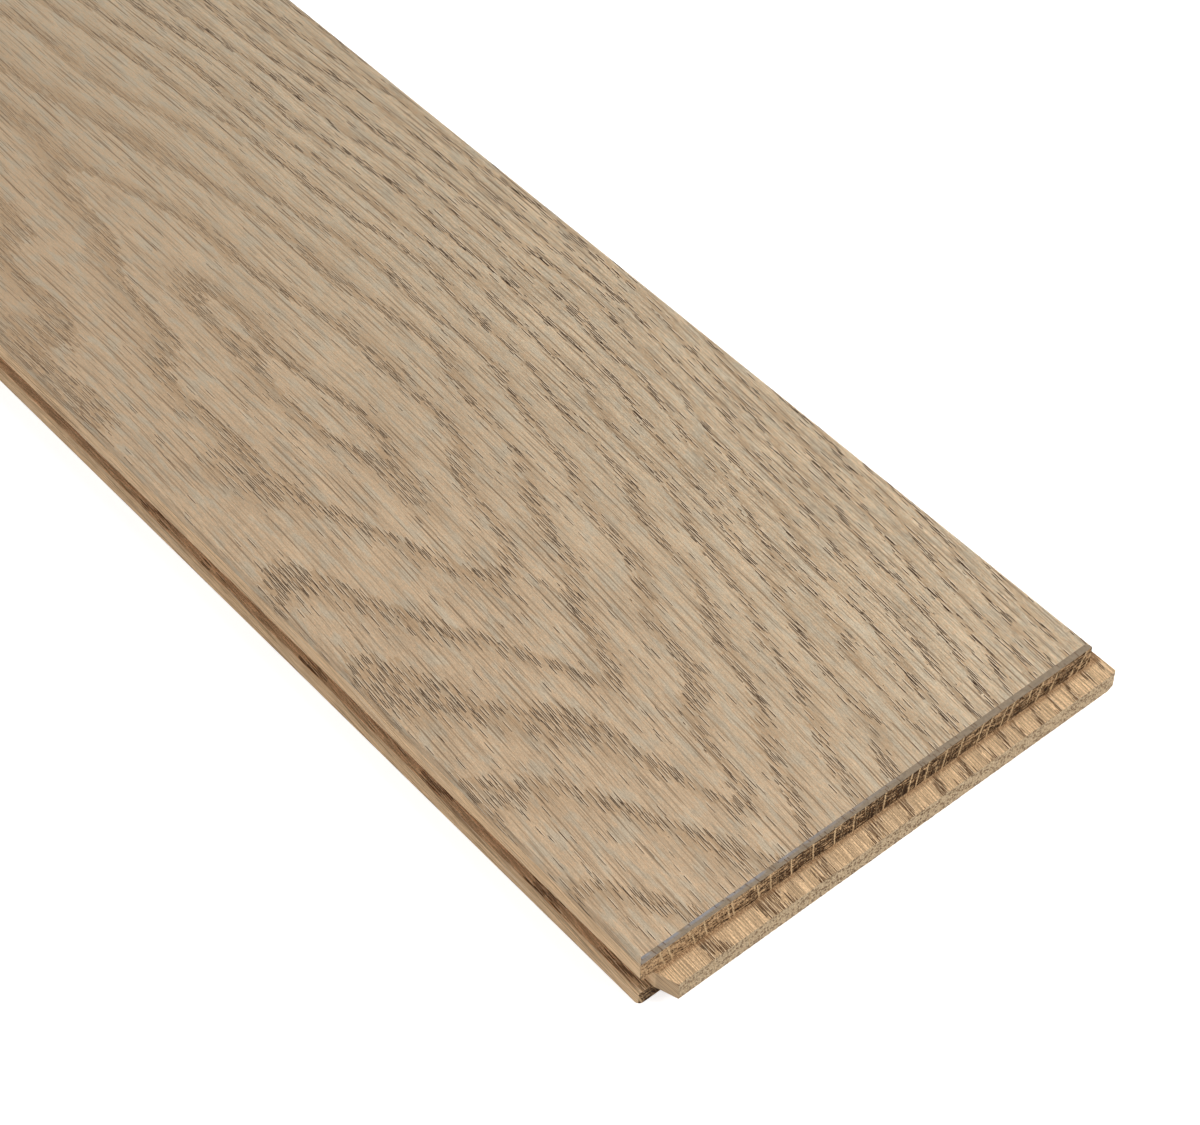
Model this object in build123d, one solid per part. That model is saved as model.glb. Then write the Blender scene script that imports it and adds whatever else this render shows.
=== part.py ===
"""Solid oak floorboard, 18 x 150 mm, tongued and grooved on all four sides.

The board lies flat with its face up. X runs across it, Y along its length and Z up from its
underside, and the origin is the middle of the underside. Tongues stand out of the right long
side (+X) and of the near end (-Y). Their grooves are in the left long side (-X) and the far
end (+Y). All sizes are in millimetres.
"""

from build123d import *
import os
from math import radians, tan

# Face of the board, measured between its four walls
face_width = 150.0
face_length = 900.0
thickness = 18.0

# Bevel round the four top edges, the same across and down
bevel = 1.2

# Tongue, counted down from the face
tongue_drop = 7.6
tongue_thickness = 5.9
side_tongue_reach = 3.4
end_tongue_reach = 6.45
nose_round = 0.6
root_fillet = 0.9

# Room that a groove leaves round the neighbour's tongue
groove_play = 0.1
groove_depth_play = 0.8
mouth_chamfer = 0.9

# Below its tongues the board is a little narrower, so that two faces close tight
undercut = 0.5

# Where the end tongue starts at the side groove, its end is cut at a slant in plan
tongue_end_slant = 18.5

# Outer corner where the two tongues meet, clipped in plan
clip_across = 2.6
clip_along = 0.6

# Upright edge of the lower lip at the near left corner, rounded in plan
lip_corner_round = 1.5

# Shallow channels along the underside that keep a wide board from cupping
relief_count = 6
relief_pitch = 22.0
relief_width = 5.0
relief_depth = 1.6

# Wood that the sawn blank has to spare on every side, and how far a cutter runs past it
blank_allowance = 2.0
cutter_overrun = 3.0

# Heights of the tongue and the groove above the underside
tongue_top = thickness - tongue_drop
tongue_bottom = tongue_top - tongue_thickness
groove_top = tongue_top + groove_play
groove_bottom = tongue_bottom - groove_play
side_groove_depth = side_tongue_reach + groove_depth_play
end_groove_depth = end_tongue_reach + groove_depth_play

# Places of the four walls and of what stands out of them
left_wall = -face_width / 2
right_wall = face_width / 2
near_wall = -face_length / 2
far_wall = face_length / 2
side_nose = right_wall + side_tongue_reach
end_nose = near_wall - end_tongue_reach
side_groove_floor = left_wall + side_groove_depth

UP = Vector(0, 0, 1)
LEFT = Vector(-1, 0, 0)
RIGHT = Vector(1, 0, 0)
NEAR = Vector(0, -1, 0)
FAR = Vector(0, 1, 0)


def blank():
    """Sawn blank that holds the finished board with wood to spare on its four sides."""
    spare = 2 * blank_allowance
    width = side_nose - left_wall + spare
    length = far_wall - end_nose + spare
    middle = ((side_nose + left_wall) / 2, (far_wall + end_nose) / 2, thickness / 2)
    return Pos(*middle) * Box(width, length, thickness)


def wall_plane(outward, distance):
    """Plane square to one wall, with its x pointing out of the board and its y up."""
    return Plane(origin=outward * distance, x_dir=outward, z_dir=outward.cross(UP))


def cutter(plane, points, rounds, run):
    """Solid that a profile cutter sweeps along one side of the board.

    points is the cutter's closed outline, and rounds gives the radius of those of its corners
    that are rounded, as a corner and its radius.
    """
    with BuildPart() as swept:
        with BuildSketch(plane):
            with BuildLine():
                Polyline(*points, close=True)
            outline = make_face()
            for corner, radius in rounds:
                place = plane.from_local_coords(Vector(*corner))
                sharp = outline.vertices().sort_by_distance(place)[0]
                fillet(sharp, radius)
        extrude(amount=run / 2 + blank_allowance + cutter_overrun, both=True)
    return swept.part


def tongue_cutter(outward, distance, reach, run):
    """Cuts the bevel, the wall and the tongue on one side."""
    outside = reach + blank_allowance + cutter_overrun
    above = thickness + cutter_overrun
    below = -cutter_overrun
    root_above = (0, tongue_top)
    nose_above = (reach, tongue_top)
    nose_below = (reach, tongue_bottom)
    root_below = (-undercut, tongue_bottom)
    points = [
        (-bevel - cutter_overrun, above),
        (0, thickness - bevel),
        root_above,
        nose_above,
        nose_below,
        root_below,
        (-undercut, below),
        (outside, below),
        (outside, above),
    ]
    rounds = [
        (root_above, root_fillet),
        (nose_above, nose_round),
        (nose_below, nose_round),
        (root_below, root_fillet),
    ]
    return cutter(wall_plane(outward, distance), points, rounds, run)


def groove_cutter(outward, distance, depth, run):
    """Cuts the bevel, the wall and the groove with its eased mouth on one side."""
    outside = blank_allowance + cutter_overrun
    above = thickness + cutter_overrun
    below = -cutter_overrun
    points = [
        (-bevel - cutter_overrun, above),
        (0, thickness - bevel),
        (0, groove_top + mouth_chamfer),
        (-mouth_chamfer, groove_top),
        (-depth, groove_top),
        (-depth, groove_bottom),
        (-mouth_chamfer, groove_bottom),
        (0, groove_bottom - mouth_chamfer),
        (0, below),
        (outside, below),
        (outside, above),
    ]
    return cutter(wall_plane(outward, distance), points, [], run)


def tongue_end_cutter():
    """Slanting cut that ends the near tongue at the side groove."""
    slant_run = end_tongue_reach + cutter_overrun
    slant_shift = slant_run * tan(radians(tongue_end_slant))
    with BuildPart() as cut:
        with BuildSketch(Plane.XY):
            with BuildLine():
                Polyline(
                    (side_groove_floor, near_wall),
                    (side_groove_floor + slant_shift, near_wall - slant_run),
                    (left_wall - cutter_overrun, near_wall - slant_run),
                    (left_wall - cutter_overrun, near_wall),
                    close=True,
                )
            make_face()
        extrude(amount=thickness)
    return cut.part


def tongue_corner_cutter():
    """Plan cut that takes the sharp corner off where the two tongues meet."""
    with BuildPart() as cut:
        with BuildSketch(Plane.XY):
            with BuildLine():
                Polyline(
                    (side_nose - clip_across, end_nose),
                    (side_nose, end_nose + clip_along),
                    (side_nose + cutter_overrun, end_nose + clip_along),
                    (side_nose + cutter_overrun, end_nose - cutter_overrun),
                    (side_nose - clip_across, end_nose - cutter_overrun),
                    close=True,
                )
            make_face()
        extrude(amount=thickness)
    return cut.part


def relief_cutters():
    """Round-nosed cutters for the channels along the underside."""
    nose_radius = (relief_width**2 / 4 + relief_depth**2) / (2 * relief_depth)
    length = face_length + 2 * (end_tongue_reach + cutter_overrun)
    height = relief_depth - nose_radius
    rod = Pos(0, 0, height) * Rot(90, 0, 0) * Cylinder(nose_radius, length)
    return [place * rod for place in GridLocations(relief_pitch, 1, relief_count, 1)]


def round_lip_corner(board):
    """Rounds the upright edge of the lower lip at the near left corner."""
    corner = Vector(left_wall, near_wall + undercut, groove_bottom / 2)
    upright = board.edges().filter_by(Axis.Z)
    lip_edge = upright.sort_by_distance(corner)[0]
    return board.fillet(lip_corner_round, [lip_edge])


def floorboard():
    """The whole board: a blank, shaped along its two sides and across its two ends."""
    along = face_length + 2 * end_tongue_reach
    across = face_width + 2 * side_tongue_reach
    board = blank()
    board -= tongue_cutter(RIGHT, right_wall, side_tongue_reach, along)
    board -= groove_cutter(LEFT, -left_wall, side_groove_depth, along)
    board -= tongue_cutter(NEAR, -near_wall, end_tongue_reach, across)
    board -= groove_cutter(FAR, far_wall, end_groove_depth, across)
    board -= tongue_end_cutter()
    board -= tongue_corner_cutter()
    for channel in relief_cutters():
        board -= channel
    return round_lip_corner(board)


os.makedirs("parts", exist_ok=True)
export_step(floorboard(), "parts/floorboard.step")
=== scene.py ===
"""Solid oak floorboard with a brushed, greyed face, lying flat on a pale studio floor."""

from math import pi, radians

import bpy
import numpy as np
from bpy.props import FloatProperty, FloatVectorProperty, PointerProperty
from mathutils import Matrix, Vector, noise


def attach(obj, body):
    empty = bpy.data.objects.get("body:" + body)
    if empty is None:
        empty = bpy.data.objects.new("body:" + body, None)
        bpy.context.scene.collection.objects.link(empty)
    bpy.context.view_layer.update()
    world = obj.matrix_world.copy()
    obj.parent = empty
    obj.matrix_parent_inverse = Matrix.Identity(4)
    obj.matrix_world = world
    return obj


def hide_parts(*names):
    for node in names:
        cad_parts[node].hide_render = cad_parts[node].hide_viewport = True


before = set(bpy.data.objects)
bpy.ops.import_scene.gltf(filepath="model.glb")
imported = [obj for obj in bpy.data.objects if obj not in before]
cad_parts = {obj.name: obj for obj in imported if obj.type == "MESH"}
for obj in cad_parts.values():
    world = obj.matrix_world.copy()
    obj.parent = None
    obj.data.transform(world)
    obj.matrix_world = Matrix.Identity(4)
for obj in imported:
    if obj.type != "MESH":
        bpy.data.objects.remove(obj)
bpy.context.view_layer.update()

bl_info = {
    "name": "Oak Floorboard",
    "version": (1, 0, 0),
    "blender": (4, 5, 0),
    "location": "View3D > Sidebar > Floorboard",
    "description": "Models a brushed oak floorboard and the studio it lies in",
    "category": "Add Mesh",
}

NODE = "floorboard"
TORN = "torn"
MM = 0.001

# Walls, tongue and bevel of the board, in millimetres
FACE_WIDTH = 150.0
FACE_LENGTH = 900.0
THICKNESS = 18.0
BEVEL = 1.2
TONGUE_TOP = 10.4
TONGUE_BOTTOM = 4.5
GROOVE_TOP = 10.5
GROOVE_BOTTOM = 4.4
END_REACH = 6.45
SIDE_REACH = 3.4
ROOT_FILLET = 0.9
SIDE_GROOVE_DEPTH = 4.2
END_GROOVE_DEPTH = 7.25
LEFT_WALL = -FACE_WIDTH / 2
RIGHT_WALL = FACE_WIDTH / 2
NEAR_WALL = -FACE_LENGTH / 2
FAR_WALL = FACE_LENGTH / 2

# The tree that the board was sawn from, in millimetres from the face's near left corner
PITH_ACROSS = 48.0
PITH_DEPTH = 109.0
RING_WIDTH = 3.45

# Where the rays in the end grain fan out from, and how far along the fibres bend
RAYS_ACROSS = 58
RAYS_DEPTH = 190.0
FIBRES_BEND = 190

# Middles of the two sets of arches in the figure, along the board
NEAR_ARCHES = 188
FAR_ARCHES = 700

# How far the fibres lean to the left for each millimetre up
LEAN = 0.73

# Worn faces of the mesh are smaller than this, in square millimetres
LARGEST_WORN = 20.0

# Width of the strips along the near end and the right side at which the fine cuts stop
GUARD = 0.02

# How far off a plane a vertex may lie and still count as on it
NEARBY = 0.01

# Numbers of the materials on the board
FACE, BEVEL_END, MILLED, SIDE, END_GRAIN = range(5)


def root(a):
    """Square root of an array or a shader value."""
    return a.math("SQRT") if isinstance(a, Value) else np.sqrt(a)


def wave(a):
    """Sine of an array or a shader value."""
    return a.math("SINE") if isinstance(a, Value) else np.sin(a)


def lower(a, b, blend):
    """The lower of two values, rounded over where they cross."""
    gap = a - b
    return (a + b - root(gap * gap + blend * blend)) / 2


def ring_number(x, y, z):
    """How many growth rings out a point lies, in millimetres from the face's near left corner.

    The whole numbers are where each ring's large spring pores begin. It is written once for
    arrays and for shader values, so that the relief of the mesh and the figure agree.
    """
    # Rings round the pith, steeper beside it and flatter towards the board's long sides
    side = x - PITH_ACROSS - 0.022 * y
    deep = z + PITH_DEPTH
    out = (root(side * side + deep * deep) - PITH_DEPTH) / RING_WIDTH
    steep = 0.73 * side * side / (side * side + 68)
    left = (root(side * side + 1) - side) / 2
    right = (root(side * side + 1) + side) / 2
    flat = 1.54e-5 * left * left * left + 8.1e-7 * right * right * right

    # Two sets of arches, where the trunk swelled
    near = y - NEAR_ARCHES
    near = 0.78 * near - 0.22 * root(near * near + 9)
    first = (root(near * near + 1418) - 197) / 38.6
    far = y - FAR_ARCHES
    second = (root(far * far + 3600) - 240) / 52
    arches = lower(first, second, 1.0)

    ripple = 0.1 * wave(y / 9 + x / 6) + 0.08 * wave(y / 17 - x / 11 + 1.3)
    ripple = ripple + 0.05 * wave(x / 3.1 + y / 29)
    return out + steep - flat + arches + ripple


def wander(x, y):
    """How far the fibres have run to the left, in millimetres, at a place on the board.

    They slant to the right from the near end, and straighten further along.
    """
    far = y - FIBRES_BEND
    slant = 0.04 * (far - root(far * far + 3600))
    return 0.5 * wave(y / 43 + x / 26) + 0.2 * wave(y / 15 - x / 17 + 2) - slant


def spring(ring):
    """How much of the spring wood's pores an array of ring numbers has, from 0 to 1."""
    part = ring - np.floor(ring)
    rise = np.clip(part / 0.05, 0, 1)
    fall = np.clip((0.42 - part) / 0.2, 0, 1)
    return rise * fall


class Value:
    """A number in a material, with the arithmetic that adds its Math nodes."""

    def __init__(self, tree, socket):
        self.tree = tree
        self.socket = socket

    def math(self, operation, *others):
        """Adds one Math node that takes this value first."""
        return maths(self.tree, operation, self, *others)

    def __add__(self, other):
        return self.math("ADD", other)

    def __radd__(self, other):
        return self.math("ADD", other)

    def __sub__(self, other):
        return self.math("SUBTRACT", other)

    def __rsub__(self, other):
        return maths(self.tree, "SUBTRACT", other, self)

    def __mul__(self, other):
        return self.math("MULTIPLY", other)

    def __rmul__(self, other):
        return self.math("MULTIPLY", other)

    def __truediv__(self, other):
        return self.math("DIVIDE", other)

    def __rtruediv__(self, other):
        return maths(self.tree, "DIVIDE", other, self)

    def __lt__(self, other):
        return self.math("LESS_THAN", other)


def maths(tree, operation, *operands):
    """Adds one Math node for operands that are values or plain numbers."""
    node = tree.nodes.new("ShaderNodeMath")
    node.operation = operation
    for slot, operand in zip(node.inputs, operands):
        if isinstance(operand, Value):
            tree.links.new(operand.socket, slot)
        else:
            slot.default_value = operand
    return Value(tree, node.outputs[0])


class Paint:
    """A material being built, with one method that adds any node."""

    def __init__(self, name):
        self.material = bpy.data.materials.new(name)
        self.material.use_nodes = True
        self.tree = self.material.node_tree
        self.shader = self.tree.nodes["Principled BSDF"]

    def node(self, kind, settings, inputs):
        """Adds a node, sets its settings, and fills its sockets with values, links or constants."""
        node = self.tree.nodes.new(kind)
        for key, setting in settings.items():
            setattr(node, key, setting)
        for key, given in inputs.items():
            self.feed(node.inputs[key], given)
        return node

    def feed(self, slot, given):
        """Links a value or a socket to a slot, or sets a constant."""
        if isinstance(given, Value):
            given = given.socket
        if isinstance(given, bpy.types.NodeSocket):
            self.tree.links.new(given, slot)
        else:
            slot.default_value = given

    def value(self, socket):
        """A socket of this material as a value."""
        return Value(self.tree, socket)

    def vector(self, x, y, z):
        """Three values or numbers as one vector."""
        return self.node("ShaderNodeCombineXYZ", {}, {"X": x, "Y": y, "Z": z}).outputs[0]

    def split(self, vector):
        """The three parts of a vector, as values."""
        parts = self.node("ShaderNodeSeparateXYZ", {}, {"Vector": vector}).outputs
        return tuple(self.value(part) for part in parts)

    def noise(self, place, detail=2.0, rough=0.5):
        """Smooth noise from 0 to 1, with features about one unit across."""
        node = self.node(
            "ShaderNodeTexNoise",
            {"noise_dimensions": "2D"},
            {"Vector": place, "Scale": 1.0, "Detail": detail, "Roughness": rough},
        )
        return self.value(node.outputs[0])

    def cells(self, place):
        """Scattered points about one unit apart: the nearest one's place and its random numbers."""
        settings = {"voronoi_dimensions": "2D"}
        node = self.node("ShaderNodeTexVoronoi", settings, {"Vector": place, "Scale": 1.0})
        return self.split(node.outputs["Position"]), self.split(node.outputs["Color"])

    def step(self, value, start, end):
        """0 at start and 1 at end, and smooth between. start may be the higher one."""
        node = self.node(
            "ShaderNodeMapRange",
            {"interpolation_type": "SMOOTHSTEP"},
            {"Value": value, "From Min": start, "From Max": end},
        )
        return self.value(node.outputs[0])

    def mix(self, amount, under, over):
        """Colour under, with over laid on by amount."""
        node = self.tree.nodes.new("ShaderNodeMix")
        node.data_type = "RGBA"
        self.feed(node.inputs[0], amount)
        self.feed(node.inputs[6], under)
        self.feed(node.inputs[7], over)
        return node.outputs[2]

    def shade(self, colour, amount):
        """Colour made darker or lighter by a grey factor."""
        grey = self.vector(amount, amount, amount)
        node = self.node("ShaderNodeVectorMath", {"operation": "MULTIPLY"}, {0: colour, 1: grey})
        return node.outputs[0]

    def finish(self, colour, rough, height, depth, shine):
        """Feeds the shader, with bumps depth metres high where height goes from 0 to 1."""
        self.shader.inputs["Specular IOR Level"].default_value = shine
        bump = self.node("ShaderNodeBump", {}, {"Height": height, "Distance": depth, "Strength": 1.0})
        self.feed(self.shader.inputs["Base Color"], colour)
        self.feed(self.shader.inputs["Roughness"], rough)
        self.feed(self.shader.inputs["Normal"], bump.outputs[0])
        return self.material


class Oak:
    """The figure of the wood in a material, in millimetres from the face's near left corner."""

    def __init__(self, paint):
        self.paint = paint
        place = paint.node("ShaderNodeTexCoord", {}, {}).outputs["Object"]
        x, y, z = paint.split(place)
        self.x = x * 1000 - LEFT_WALL
        self.y = y * 1000 - NEAR_WALL
        self.z = z * 1000 - THICKNESS
        self.drift = wander(self.x, self.y)
        self.side = self.x + LEAN * self.z + self.drift

    def grain(self, across, along):
        """Place on a surface that runs along the fibres, in units of these sizes."""
        return self.paint.vector(self.side / across, self.y / along, 0.0)

    def end(self, across, deep):
        """Place on a surface cut across the fibres, in units of these sizes."""
        return self.paint.vector(self.x / across, self.z / deep, 0.0)

    def scatter(self, across, along, thick, length):
        """Marks scattered along the fibres, about one for each step across and along.

        Gives how far this place is off the nearest mark's line and past its middle, in units of
        its thickness and length, then the mark's own place, in steps, and its chances.
        """
        side = self.side / across
        run = self.y / along
        point, chance = self.paint.cells(self.paint.vector(side, run, 0.0))
        off = (side - point[0]) * (across / thick)
        past = (run - point[1]) * (along / length)
        return off, past, point, chance

    def dashes(self, across, along, thick, length):
        """Open pores cut lengthwise.

        Gives how much this place is in a pore and on the raised fibres beside it, which get a painted
        highlight, then how far through its growth ring the pore lies, and its chances.
        """
        paint = self.paint
        off, past, point, chance = self.scatter(across, along, thick, length)
        ends = past * past * past * past
        inside = paint.step(off * off + ends, 1.2, 0.4)
        # Strip beside each pore, which the materials lighten as a painted highlight on its raised fibres
        beside = off - 1.9
        pale_fibre_and_highlight = paint.step(beside * beside + ends, 1.2, 0.2)
        middle = point[0] * across - LEAN * self.z - self.drift
        ring = ring_number(middle, point[1] * along, self.z)
        return inside, pale_fibre_and_highlight, ring - ring.math("FLOOR"), chance

    def flecks(self, across, along, thick, length):
        """Rays cut lengthwise: slim spindles along the grain."""
        off, past, point, chance = self.scatter(across, along, thick, length)
        inside = self.paint.step(off * off + past * past * (0.8 + chance[1]), 1.0, 0.35)
        return inside * (0.25 + 0.75 * chance[0])

    def dots(self, pitch, radius):
        """Open pores cut across: how much this place is in one, its part of its ring, its chances."""
        paint = self.paint
        point, chance = paint.cells(self.end(pitch, pitch))
        side = self.x - point[0] * pitch
        deep = self.z - point[1] * pitch
        square = radius * radius
        inside = paint.step(side * side + deep * deep, 1.3 * square, 0.5 * square)
        ring = ring_number(point[0] * pitch, self.y, point[1] * pitch)
        return inside, ring - ring.math("FLOOR"), chance

    def lines(self, pitch, thick):
        """Rays cut across: thin lines that fan out from the pith, and their chances."""
        paint = self.paint
        fan = (self.x - RAYS_ACROSS) * (RAYS_DEPTH / (self.z + RAYS_DEPTH))
        wobble = 0.04 * wave(self.z * 1.1 + self.x)
        turn = (fan + wobble) / pitch
        point, chance = paint.cells(paint.vector(turn, self.z / 40, 0.0))
        off = (turn - point[0]) * (pitch / thick)
        return paint.step(off * off, 1.0, 0.3), chance


def opaque(colour):
    """Colour of a property with full alpha, as colour sockets take it."""
    return tuple(colour) + (1.0,)


def face_material(colours):
    """Brushed face: greyed oak, dark pores in ring bands with painted highlights beside them, and
    grey-brown ray flecks.
    """
    paint = Paint("brushed_face")
    oak = Oak(paint)
    patch = paint.noise(oak.grain(5, 32), 1.0)
    warm = paint.step(paint.noise(oak.grain(0.45, 1.3)), 0.42, 0.68)
    colour = paint.mix(paint.step(oak.x, 15, 125), opaque(colours.face_left), opaque(colours.face))
    colour = paint.mix(warm * 0.6, colour, opaque(colours.face_warm))
    cool = paint.step(paint.noise(oak.grain(2.2, 9)), 0.46, 0.68)
    colour = paint.mix(cool * 0.6, colour, opaque(colours.face_cool))
    streak = paint.noise(oak.grain(0.45, 16), 1.0)
    fibre = paint.noise(oak.grain(0.24, 2.4), 2.0, 0.7)
    speck = paint.noise(oak.grain(0.3, 0.5), 1.0)
    crisp = 0.44 + 0.66 * paint.step(oak.y, 340, 120) + 0.6 * paint.step(oak.x, 80, 125)
    texture = 0.25 * patch + 0.42 * streak + 0.58 * fibre + 0.36 * speck - 0.805
    colour = paint.shade(colour, 1 + crisp * texture)

    inside, pale_fibre_and_highlight, part, chance = oak.dashes(0.48, 4.6, 0.125, 2.4)
    band = paint.step(part, 0.55, 0.1)
    colour = paint.mix(band * (0.1 + 0.57 * streak), colour, opaque(colours.spring))
    fleck = oak.flecks(2.3, 22, 0.27, 13).math("MAXIMUM", oak.flecks(1.3, 12, 0.17, 7) * 0.7)
    colour = paint.mix(fleck * 0.85, colour, opaque(colours.fleck))

    dense = paint.step(part, 0.4, 0.12) * (0.38 + 0.4 * paint.step(patch, 0.3, 0.6)) + 0.04
    there = (chance[0] < dense) * (crisp - 0.1)
    pore = inside * there * (0.55 + 0.45 * chance[1])
    # Painted highlight on the raised fibres beside each pore
    colour = paint.mix(pale_fibre_and_highlight * there * 0.75, colour, opaque(colours.pale_fibre_and_highlight))
    colour = paint.mix(pore, colour, opaque(colours.pore))
    height = 1 - pore - fleck * 0.12 + fibre * 0.3
    rough = 0.52 + 0.2 * pore + 0.1 * streak
    return paint.finish(colour, rough, height, 0.00015, 0.25)


def bevel_material(colours):
    """End bevels: end grain filled with grey-brown lacquer, bluish grey in patches along the upper edge
    and at the left end.
    """
    paint = Paint("lacquered_bevel")
    oak = Oak(paint)
    mottle = paint.noise(oak.grain(1.8, 0.7), 3.0, 0.7)
    streak = paint.noise(oak.grain(0.4, 1.2), 2.0, 0.6)
    edge = paint.step(oak.z, -0.75, -0.25)
    bluish_patches = paint.step(paint.noise(oak.grain(5, 3), 1.0), 0.3, 0.55) * paint.step(oak.x, 110, 15)
    corner = paint.step(oak.x, 18, 4)
    blue = edge.math("MAXIMUM", corner * 0.3) * bluish_patches
    colour = paint.mix(blue * 0.9, opaque(colours.bevel), opaque(colours.bevel_blue))
    light = 0.36 + 0.05 * paint.step(oak.x, 62, 20)
    colour = paint.shade(colour, light + 0.7 * mottle + 0.4 * streak)
    inside, _, _, chance = oak.dashes(0.9, 1.6, 0.16, 0.7)
    pore = inside * (chance[0] < 0.3)
    colour = paint.mix(pore * 0.6, colour, opaque(colours.torn))
    return paint.finish(colour, 0.5 + 0.1 * mottle, mottle - pore, 0.00015, 0.3)


def bare_wood(paint, oak, colours, light):
    """Colour of bare oak, made darker or lighter by a factor."""
    patch = paint.noise(oak.grain(5, 30), 1.0)
    colour = paint.mix(patch, opaque(colours.milled), opaque(colours.milled_warm))
    return paint.shade(colour, light)


def milled_material(colours):
    """Bare milled oak on the tongues and the back, torn in places, with painted highlights beside the
    tears.
    """
    paint = Paint("milled_oak")
    oak = Oak(paint)
    coarse = paint.noise(oak.grain(0.5, 7), 2.0, 0.6)
    fibre = paint.step(paint.noise(oak.grain(0.24, 9), 1.0), 0.3, 0.7)
    streak = 0.5 * coarse + 0.5 * fibre
    colour = bare_wood(paint, oak, colours, 0.41 + 1.28 * streak)
    inside, pale_fibre_and_highlight, part, chance = oak.dashes(0.45, 4.8, 0.14, 2.8)
    dense = paint.step(part, 0.4, 0.16) * 0.95 + 0.02
    there = chance[0] < dense
    pore = inside * there * (0.6 + 0.4 * chance[1])
    # Painted highlight on the raised fibres beside the torn pores, in a pale splinter colour
    colour = paint.mix(pale_fibre_and_highlight * there * 0.7, colour, opaque(colours.splinter_and_highlight))
    colour = paint.mix(pore, colour, opaque(colours.torn))
    torn = paint.value(paint.node("ShaderNodeAttribute", {"attribute_name": TORN}, {}).outputs["Fac"])
    colour = paint.mix(paint.step(torn, 0.2, 0.8) * 0.6, colour, opaque(colours.torn))
    fuzz = paint.step(paint.noise(oak.grain(0.4, 0.5), 2.0, 0.7), 0.3, 0.7)
    corner = paint.step(oak.y, -1.7, -0.5) * paint.step(oak.y, 4, 3) * paint.step(oak.z, -12, -11)
    colour = paint.mix(corner * (0.5 + 0.45 * fuzz), colour, opaque(colours.fuzz))
    colour = paint.shade(colour, 1.2 - 0.4 * fuzz)
    height = 1 - pore + streak * 0.9
    return paint.finish(colour, 0.72 + 0.1 * pore, height, 0.0003, 0.2)


def side_material(colours):
    """Bare planed oak on the long sides, darker in the grooves, with painted shade on the end tongue's
    cut end.
    """
    paint = Paint("planed_side")
    oak = Oak(paint)
    coarse = paint.noise(oak.grain(0.3, 40), 3.0, 0.6)
    fibre = paint.step(paint.noise(oak.grain(0.2, 7), 2.0, 0.6), 0.25, 0.75)
    streak = 0.6 * coarse + 0.4 * fibre
    colour = bare_wood(paint, oak, colours, 0.35 + 1.5 * streak)
    ceiling = GROOVE_TOP - THICKNESS
    floor = GROOVE_BOTTOM - THICKNESS
    high = paint.step(oak.z, ceiling + 1.0, ceiling + 0.5)
    low = paint.step(oak.z, floor - 0.12, floor - 0.02)
    side = paint.step(oak.x, 0.3, 0.8) * paint.step(oak.x, 10, 9) * paint.step(oak.y, 0.2, 7)
    far = paint.step(oak.y, FACE_LENGTH - 12, FACE_LENGTH - 10)
    far = far * paint.step(oak.y, FACE_LENGTH - 0.3, FACE_LENGTH - 0.8)
    groove = high * low * side.math("MAXIMUM", far)
    dark = paint.shade(tuple(colours.groove), 0.25 + 1.5 * streak)
    colour = paint.mix(groove, colour, dark)
    line = paint.noise(oak.grain(0.5, 45), 2.0)
    colour = paint.mix(paint.step(line, 0.55, 0.68) * 0.6, colour, opaque(colours.torn))
    bright = paint.noise(oak.grain(0.35, 30), 2.0)
    colour = paint.mix(paint.step(bright, 0.58, 0.7) * 0.45, colour, opaque(colours.pale_fibre_and_highlight))
    # Painted shade on the end tongue's slanted cut end: a grey factor darkens it
    tip_shade = 0.27 * paint.step(oak.y, -0.2, -0.8)
    colour = paint.shade(colour, 1 - tip_shade)
    height = streak + line * 0.5
    return paint.finish(colour, 0.72, height, 0.0002, 0.2)


def end_material(colours):
    """End grain: dark and torn on the walls, grey-tan on the nose of the tongue."""
    paint = Paint("end_grain")
    oak = Oak(paint)
    nose = paint.step(oak.y, -4, -5)
    tear = paint.noise(oak.end(3.6, 0.5), 3.0, 0.6)
    mottle = paint.noise(oak.end(0.45, 0.3), 2.0, 0.6)
    burnt = 1.1 * paint.step(oak.x, 8, 62) + 0.2 * paint.step(oak.x, 62, 80)
    burnt = burnt - 0.4 * paint.step(oak.x, 92, 108)
    below = paint.step(oak.z, -2.5, -6) * 0.3 + paint.step(oak.z, -12.6, -13.4)
    start = 0.56 - 0.05 * paint.step(oak.x, 30, 8)
    fresh = paint.step(tear + 0.5 * mottle - 0.14 * (burnt + below), start, 0.75)
    dark = paint.mix(fresh, opaque(colours.end_dark), opaque(colours.end_tan))
    light = paint.mix(paint.step(mottle, 0.35, 0.65), opaque(colours.nose), opaque(colours.nose_light))
    colour = paint.mix(nose, dark, light)
    colour = paint.shade(colour, 0.6 + 0.8 * mottle)
    inside, part, chance = oak.dots(0.9, 0.34)
    dense = paint.step(part, 0.6, 0.3) * 0.6 + 0.3
    pore = inside * (chance[0] < dense)
    colour = paint.mix(pore * (0.5 + 0.12 * burnt), colour, opaque(colours.torn))
    line, _ = oak.lines(6.5, 0.33)
    colour = paint.mix(line * (0.95 - 0.75 * nose), colour, opaque(colours.ray))
    fine, chance = oak.lines(1.3, 0.11)
    colour = paint.mix(fine * chance[0] * 0.5, colour, opaque(colours.ray))
    height = mottle + tear - pore + line * 0.5
    return paint.finish(colour, 0.8 + 0.1 * pore, height, 0.0003, 0.1)


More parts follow.
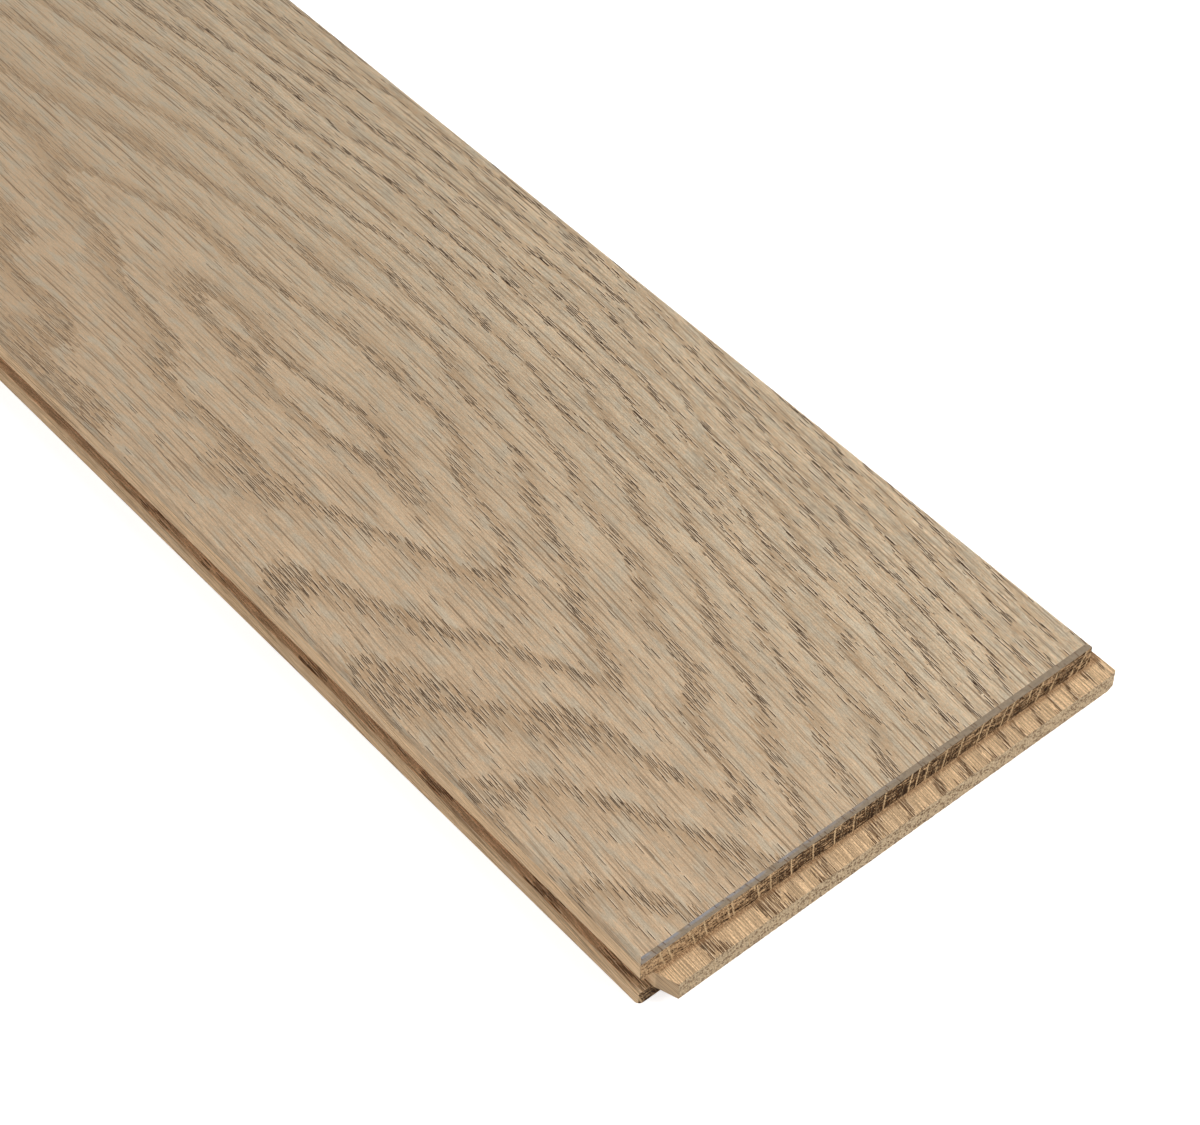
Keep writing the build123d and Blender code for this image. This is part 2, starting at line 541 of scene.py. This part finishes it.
class WoodColours(bpy.types.PropertyGroup):
    """Colours of the oak and its finish."""

    face: FloatVectorProperty(
        name="Face", description="Brushed and greyed face", subtype="COLOR", size=3,
        default=(0.494, 0.390, 0.264),
    )
    face_left: FloatVectorProperty(
        name="Left of the face", description="Browner part of the face, beside the side groove",
        subtype="COLOR", size=3, default=(0.486, 0.358, 0.232),
    )
    face_warm: FloatVectorProperty(
        name="Warm face", description="Tan patches of the face", subtype="COLOR", size=3,
        default=(0.560, 0.374, 0.226),
    )
    face_cool: FloatVectorProperty(
        name="Cool face", description="Grey-green patches of the face", subtype="COLOR", size=3,
        default=(0.440, 0.380, 0.282),
    )
    spring: FloatVectorProperty(
        name="Spring wood", description="Browner wood round the rows of pores", subtype="COLOR", size=3,
        default=(0.330, 0.198, 0.095),
    )
    # Pale fibres on the long sides, and the painted highlight beside the pores of the face
    pale_fibre_and_highlight: FloatVectorProperty(
        name="Ridge", description="Light fibres that stand up beside the pores", subtype="COLOR", size=3,
        default=(0.700, 0.555, 0.395),
    )
    fleck: FloatVectorProperty(
        name="Ray fleck", description="Ray flecks across the face", subtype="COLOR", size=3,
        default=(0.188, 0.120, 0.066),
    )
    pore: FloatVectorProperty(
        name="Pore", description="Open pores of the spring wood", subtype="COLOR", size=3,
        default=(0.034, 0.014, 0.004),
    )
    bevel: FloatVectorProperty(
        name="End bevel", description="Grey lacquer on the end bevels", subtype="COLOR", size=3,
        default=(0.205, 0.152, 0.098),
    )
    bevel_blue: FloatVectorProperty(
        name="Blue bevel", description="Bluish patches on the end bevels", subtype="COLOR", size=3,
        default=(0.215, 0.206, 0.212),
    )
    milled: FloatVectorProperty(
        name="Milled oak", description="Bare planed sides and back", subtype="COLOR", size=3,
        default=(0.555, 0.388, 0.232),
    )
    milled_warm: FloatVectorProperty(
        name="Warm milled oak", description="Warmer patches of bare oak", subtype="COLOR", size=3,
        default=(0.600, 0.405, 0.228),
    )
    torn: FloatVectorProperty(
        name="Torn oak", description="Bottoms of the torn places", subtype="COLOR", size=3,
        default=(0.105, 0.046, 0.016),
    )
    # Pale splinters, and the painted highlight beside the torn places of the tongues
    splinter_and_highlight: FloatVectorProperty(
        name="Splinter", description="Light fibres beside the torn places", subtype="COLOR", size=3,
        default=(0.760, 0.590, 0.400),
    )
    fuzz: FloatVectorProperty(
        name="Fuzz", description="Ragged fibres above the end tongue", subtype="COLOR", size=3,
        default=(0.310, 0.172, 0.080),
    )
    groove: FloatVectorProperty(
        name="Groove", description="Burnished walls of the grooves", subtype="COLOR", size=3,
        default=(0.490, 0.208, 0.083),
    )
    end_dark: FloatVectorProperty(
        name="Dark end grain", description="End grain that the saw burnished", subtype="COLOR", size=3,
        default=(0.040, 0.021, 0.010),
    )
    end_tan: FloatVectorProperty(
        name="Tan end grain", description="Fresh spots in the dark end grain", subtype="COLOR", size=3,
        default=(0.500, 0.320, 0.172),
    )
    nose: FloatVectorProperty(
        name="Tongue nose", description="End grain of the tongue's nose", subtype="COLOR", size=3,
        default=(0.370, 0.265, 0.158),
    )
    nose_light: FloatVectorProperty(
        name="Light tongue nose", description="Lighter specks of the nose", subtype="COLOR", size=3,
        default=(0.560, 0.425, 0.275),
    )
    ray: FloatVectorProperty(
        name="Ray line", description="Rays across the end grain", subtype="COLOR", size=3,
        default=(0.620, 0.430, 0.240),
    )


class BoardRelief(bpy.types.PropertyGroup):
    """How finely the board is cut, and how deep its relief goes."""

    face_step: FloatProperty(
        name="Face step", description="Width of the strips first cut into the face",
        unit="LENGTH", default=0.0024,
    )
    end_step: FloatProperty(
        name="End step", description="Size of the squares first cut into the near end",
        unit="LENGTH", default=0.0008,
    )
    brush_depth: FloatProperty(
        name="Brush depth", description="How deep brushing wore the spring wood",
        unit="LENGTH", default=0.00012,
    )
    tear_depth: FloatProperty(
        name="Tear depth", description="How deep the cutter tore the tongue",
        unit="LENGTH", default=0.0005,
    )
    nap: FloatProperty(
        name="Nap", description="How deep the end tongue is roughened",
        unit="LENGTH", default=0.00005,
    )
    wall_pit: FloatProperty(
        name="Wall pits", description="How deep the saw pitted the near wall",
        unit="LENGTH", default=0.00022,
    )
    nose_pit: FloatProperty(
        name="Nose pits", description="How deep the nose of the end tongue is pitted",
        unit="LENGTH", default=0.0001,
    )


class StudioSettings(bpy.types.PropertyGroup):
    """Camera and light of the studio."""

    lens: FloatProperty(name="Lens", description="Focal length in millimetres", default=97.7)
    eye: FloatVectorProperty(
        name="Eye", description="Place of the camera", subtype="XYZ", unit="LENGTH", size=3,
        default=(-0.3620, -0.7746, 0.6420),
    )
    turn: FloatProperty(
        name="Turn", description="Camera's heading, from +Y towards +X", subtype="ANGLE",
        default=radians(40.24),
    )
    tilt: FloatProperty(
        name="Tilt", description="How far the camera looks down", subtype="ANGLE",
        default=radians(48.22),
    )
    key_power: FloatProperty(
        name="Key light", description="Power of the key light", unit="POWER", default=12.0,
    )
    fill_power: FloatProperty(
        name="Fill light", description="Power of the fill light", unit="POWER", default=2.5,
    )
    sky: FloatProperty(
        name="Sky", description="Strength of the even light all round", default=0.5,
    )
    glow: FloatProperty(
        name="Floor glow", description="How far the floor is lifted to white", default=0.6,
    )


def read(items, key, size, kind=float):
    """One property of every vertex or face of a mesh, as an array."""
    out = np.empty(len(items) * size, dtype=kind)
    items.foreach_get(key, out)
    return out.reshape(-1, size) if size > 1 else out


def faces(mesh):
    """Middles in millimetres and normals of a mesh's faces."""
    return read(mesh.polygons, "center", 3) / MM, read(mesh.polygons, "normal", 3)


def open_region(mesh, keep):
    """Enters edit mode with only these faces shown and selected."""
    mesh.vertices.foreach_set("select", np.zeros(len(mesh.vertices), bool))
    mesh.edges.foreach_set("select", np.zeros(len(mesh.edges), bool))
    mesh.polygons.foreach_set("select", keep)
    bpy.ops.object.mode_set(mode="EDIT")
    bpy.ops.mesh.hide(unselected=True)


def close_region():
    """Shows the hidden faces again and leaves edit mode."""
    bpy.ops.mesh.reveal(select=False)
    bpy.ops.object.mode_set(mode="OBJECT")


def cut(mesh, keep, axis, start, end, step):
    """Cuts these faces at even steps along an axis, from start to end in millimetres."""
    open_region(mesh, keep)
    square = Vector((0, 0, 0))
    square[axis] = 1
    for place in np.arange(start, end, step):
        bpy.ops.mesh.select_all(action="SELECT")
        bpy.ops.mesh.bisect(plane_co=square * place * MM, plane_no=square, threshold=1e-6)
    close_region()


def refine(mesh, keep, cuts):
    """Splits every edge of these faces into equal lengths."""
    open_region(mesh, keep)
    bpy.ops.mesh.select_all(action="SELECT")
    bpy.ops.mesh.subdivide(number_cuts=cuts)
    close_region()


def on_top(mesh):
    """Faces of the walking face, inside its bevels."""
    middle, normal = faces(mesh)
    return (normal[:, 2] > 0.9) & (middle[:, 2] > THICKNESS - BEVEL / 2)


def near_end(mesh):
    """Faces of the near wall above the tongue, and of the tongue's top and nose."""
    middle, normal = faces(mesh)
    low = middle[:, 2] > TONGUE_BOTTOM + 0.1
    high = middle[:, 2] < THICKNESS - BEVEL
    return (middle[:, 1] < NEAR_WALL + 0.05) & low & high


def copy_of(node, name):
    """Copy of a CAD node as one mesh with shared corners and flat faces left whole."""
    bpy.ops.object.select_all(action="DESELECT")
    node.select_set(True)
    bpy.context.view_layer.objects.active = node
    bpy.ops.object.duplicate()
    board = bpy.context.object
    board.name = name
    bpy.ops.object.mode_set(mode="EDIT")
    bpy.ops.mesh.select_mode(type="FACE")
    bpy.ops.mesh.select_all(action="SELECT")
    bpy.ops.mesh.remove_doubles(threshold=1e-6)
    bpy.ops.mesh.dissolve_limited(angle_limit=radians(1))
    bpy.ops.object.mode_set(mode="OBJECT")
    return board


def cut_finely(board, relief):
    """Cuts the face and the near end into small squares, and leaves the rest coarse."""
    mesh = board.data
    for axis, wall in ((1, NEAR_WALL), (0, RIGHT_WALL)):
        everything = np.ones(len(mesh.polygons), bool)
        cut(mesh, everything, axis, wall + GUARD, wall + 2 * GUARD, 1)
    step = relief.end_step / MM
    fillet_top = TONGUE_TOP + ROOT_FILLET
    cut(mesh, near_end(mesh), 2, fillet_top + step, THICKNESS - BEVEL, step)
    cut(mesh, near_end(mesh), 2, TONGUE_BOTTOM + step, TONGUE_TOP - step / 2, step)
    cut(mesh, near_end(mesh), 1, NEAR_WALL - END_REACH + step, NEAR_WALL - ROOT_FILLET, step)
    cut(mesh, near_end(mesh), 0, LEFT_WALL + step, RIGHT_WALL + SIDE_REACH, step)
    refine(mesh, near_end(mesh), 1)
    step = relief.face_step / MM
    cut(mesh, on_top(mesh), 0, LEFT_WALL + BEVEL + step, RIGHT_WALL - BEVEL, step)
    long_step = 6 * step
    cut(mesh, on_top(mesh), 1, NEAR_WALL + BEVEL + long_step, FAR_WALL - BEVEL, long_step)
    refine(mesh, on_top(mesh), 3)


def crumple(places, size, seed):
    """Smooth noise at places in millimetres, about from -1 to 1, with features of this size."""
    shift = Vector((seed * 17.3, seed * 5.1, seed * 9.7))
    across, along, deep = size
    spots = [Vector((x / across, y / along, z / deep)) + shift for x, y, z in places]
    return np.array([noise.noise(spot) for spot in spots])


def sink_face(places, depth):
    """Depth below the face that brushing leaves at each place, in millimetres."""
    x, y, z = places.T
    band = spring(ring_number(x, y, z))
    along = np.stack([x + wander(x, y), y, z], axis=1)
    furrow = crumple(along, (1.1, 30, 1), 1)
    hollow = crumple(along, (9, 160, 1), 2)
    return depth * np.clip(0.45 * band + 0.4 * furrow + 0.25 * hollow + 0.35, 0, 1.2)


def wear(board, relief):
    """Sinks the brushed face and the torn near end, and notes how torn each vertex is.

    The edges and the tongue's two ends keep their place, so the board keeps its outline.
    """
    mesh = board.data
    spot = read(mesh.vertices, "co", 3) / MM
    places = spot - np.array([LEFT_WALL, NEAR_WALL, THICKNESS])
    x, y, z = places.T
    torn = np.zeros(len(spot))

    inner = BEVEL + 0.1
    face = (z > -NEARBY) & (x > inner) & (x < FACE_WIDTH - inner)
    face &= (y > inner) & (y < FACE_LENGTH - inner)
    spot[face, 2] -= sink_face(places[face], relief.brush_depth / MM)

    tongue = (np.abs(z - (TONGUE_TOP - THICKNESS)) < NEARBY) & (y < -ROOT_FILLET)
    tongue &= (y > -END_REACH + 0.7) & (x > 6) & (x < FACE_WIDTH + SIDE_REACH - 1)
    at = places[tongue]
    band = spring(ring_number(at[:, 0], at[:, 1], at[:, 2]))
    split = np.clip(2.2 * crumple(at, (0.42, 5, 1), 3) + 0.1, 0, 1)
    patch = np.clip(2 * crumple(at, (3.5, 6, 1), 4) + 0.6, 0, 1)
    reach = np.clip((at[:, 1] + END_REACH - 0.6) / 1.2, 0, 1)
    torn[tongue] = band * split * patch * reach
    spot[tongue, 2] -= torn[tongue] * relief.tear_depth / MM
    nap = np.clip(crumple(at, (0.5, 4, 1), 5) + 0.4, 0, 1)
    spot[tongue, 2] -= nap * relief.nap / MM

    wall = (np.abs(y) < NEARBY) & (z < -BEVEL - 0.3)
    wall &= z > TONGUE_TOP - THICKNESS + ROOT_FILLET + 0.1
    at = places[wall]
    pit = np.clip(1.6 * crumple(at, (1.4, 1, 0.5), 6) + 0.3, 0, 1)
    spot[wall, 1] += pit * relief.wall_pit / MM

    nose = (np.abs(y + END_REACH) < NEARBY) & (x > 8) & (x < FACE_WIDTH)
    at = places[nose]
    pit = np.clip(crumple(at, (0.8, 1, 0.5), 7) + 0.4, 0, 1)
    spot[nose, 1] += pit * relief.nose_pit / MM

    mesh.vertices.foreach_set("co", (spot * MM).ravel())
    layer = mesh.attributes.new(TORN, "FLOAT", "POINT")
    layer.data.foreach_set("value", torn)
    mesh.update()


def set_shading(board):
    """Shades the curved and worn faces smooth and the large flat ones flat."""
    bpy.ops.object.shade_smooth_by_angle(angle=radians(35))
    polygons = board.data.polygons
    small = read(polygons, "area", 1) < LARGEST_WORN * MM * MM
    smooth = read(polygons, "use_smooth", 1, bool)
    polygons.foreach_set("use_smooth", smooth & small)


def give_materials(board, colours):
    """Gives each face the material of the side and the cut that it belongs to."""
    mesh = board.data
    middle, normal = faces(mesh)
    which = np.full(len(mesh.polygons), MILLED, dtype=np.int32)
    upper = middle[:, 2] > THICKNESS - BEVEL
    which[np.abs(normal[:, 0]) > 0.7] = SIDE
    between_lips = (middle[:, 2] > 3) & (middle[:, 2] < 12)
    left_groove = (middle[:, 0] < LEFT_WALL + SIDE_GROOVE_DEPTH + 0.1) & (middle[:, 1] > NEAR_WALL)
    far_groove = middle[:, 1] > FAR_WALL - END_GROOVE_DEPTH - 0.1
    which[between_lips & (left_groove | far_groove)] = SIDE
    which[np.abs(normal[:, 1]) > 0.7] = END_GRAIN
    which[upper & (normal[:, 2] > 0.5)] = FACE
    which[upper & (np.abs(normal[:, 1]) > 0.5)] = BEVEL_END
    mesh.materials.clear()
    for make in (face_material, bevel_material, milled_material, side_material, end_material):
        mesh.materials.append(make(colours))
    mesh.polygons.foreach_set("material_index", which)


class FLOORBOARD_OT_board(bpy.types.Operator):
    """Model the oak board over its CAD solid and give it its finish"""

    bl_idname = "floorboard.board"
    bl_label = "Oak board"

    def execute(self, context):
        relief = context.scene.board_relief
        board = copy_of(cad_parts[NODE], "oak_board")
        cut_finely(board, relief)
        give_materials(board, context.scene.wood_colours)
        wear(board, relief)
        set_shading(board)
        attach(board, "root")
        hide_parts(NODE)
        return {"FINISHED"}


def seen_directly(tree):
    """1 for rays from the camera and for those that mirror or pass through something, else 0."""
    path = tree.nodes.new("ShaderNodeLightPath").outputs
    camera = Value(tree, path["Is Camera Ray"])
    mirrored = Value(tree, path["Is Glossy Ray"])
    through = Value(tree, path["Is Transmission Ray"])
    return camera.math("MAXIMUM", mirrored).math("MAXIMUM", through)


def lay_floor(glow):
    """Pale floor just under the board, lifted to white where it is seen directly."""
    bpy.ops.object.select_all(action="DESELECT")
    bpy.ops.mesh.primitive_plane_add(size=12, location=(0, 0, -0.0001))
    floor = bpy.context.object
    floor.name = "studio_floor"
    paint = Paint("studio_floor")
    paint.shader.inputs["Base Color"].default_value = (0.9, 0.9, 0.9, 1)
    paint.shader.inputs["Roughness"].default_value = 0.9
    paint.shader.inputs["Emission Strength"].default_value = glow
    light = paint.mix(seen_directly(paint.tree), (0, 0, 0, 1), (1, 1, 1, 1))
    paint.feed(paint.shader.inputs["Emission Color"], light)
    floor.data.materials.append(paint.material)


def light_sky(scene, strength):
    """Even light all round, which looks white where it is seen directly."""
    sky = scene.world or bpy.data.worlds.new("studio_sky")
    scene.world = sky
    sky.use_nodes = True
    tree = sky.node_tree
    back = tree.nodes["Background"]
    back.inputs["Color"].default_value = (1, 1, 1, 1)
    shown = strength + (1 - strength) * seen_directly(tree)
    tree.links.new(shown.socket, back.inputs["Strength"])


def camera_at(settings):
    """Camera that looks down along the board from its near left."""
    rotation = (pi / 2 - settings.tilt, 0, -settings.turn)
    bpy.ops.object.camera_add(location=settings.eye, rotation=rotation)
    camera = bpy.context.object
    camera.data.lens = settings.lens
    camera.data.sensor_width = 36
    camera.data.clip_start = 0.05
    return camera


def soft_light(name, place, size, power):
    """Round soft light that looks at the near end of the board."""
    bpy.ops.object.light_add(type="AREA", location=place)
    light = bpy.context.object
    light.name = name
    light.data.shape = "DISK"
    light.data.size = size
    light.data.energy = power
    aim = Vector((0, -0.3, 0)) - light.location
    light.rotation_euler = aim.to_track_quat("-Z", "Y").to_euler()


class FLOORBOARD_OT_studio(bpy.types.Operator):
    """Set the floor, the lights and the camera"""

    bl_idname = "floorboard.studio"
    bl_label = "Studio"

    def execute(self, context):
        scene = context.scene
        settings = scene.studio_settings
        lay_floor(settings.glow)
        light_sky(scene, settings.sky)
        soft_light("key_light", (0.55, -1.0, 0.9), 0.9, settings.key_power)
        soft_light("fill_light", (-1.1, -0.7, 0.45), 0.7, settings.fill_power)
        scene.camera = camera_at(settings)
        scene.view_settings.view_transform = "Standard"
        return {"FINISHED"}


class FLOORBOARD_PT_panel(bpy.types.Panel):
    """Sidebar panel with the board, the studio and their settings"""

    bl_label = "Floorboard"
    bl_idname = "FLOORBOARD_PT_panel"
    bl_space_type = "VIEW_3D"
    bl_region_type = "UI"
    bl_category = "Floorboard"

    def draw(self, context):
        self.layout.operator(FLOORBOARD_OT_board.bl_idname)
        self.layout.operator(FLOORBOARD_OT_studio.bl_idname)
        scene = context.scene
        for settings in (scene.wood_colours, scene.board_relief, scene.studio_settings):
            for key in type(settings).__annotations__:
                self.layout.prop(settings, key)


CLASSES = (
    WoodColours,
    BoardRelief,
    StudioSettings,
    FLOORBOARD_OT_board,
    FLOORBOARD_OT_studio,
    FLOORBOARD_PT_panel,
)


def register():
    for each in CLASSES:
        bpy.utils.register_class(each)
    bpy.types.Scene.wood_colours = PointerProperty(type=WoodColours)
    bpy.types.Scene.board_relief = PointerProperty(type=BoardRelief)
    bpy.types.Scene.studio_settings = PointerProperty(type=StudioSettings)


def unregister():
    del bpy.types.Scene.wood_colours
    del bpy.types.Scene.board_relief
    del bpy.types.Scene.studio_settings
    for each in reversed(CLASSES):
        bpy.utils.unregister_class(each)


def main():
    """Model everything."""
    register()
    bpy.ops.floorboard.studio()
    bpy.ops.floorboard.board()


if __name__ == "__main__":
    main()
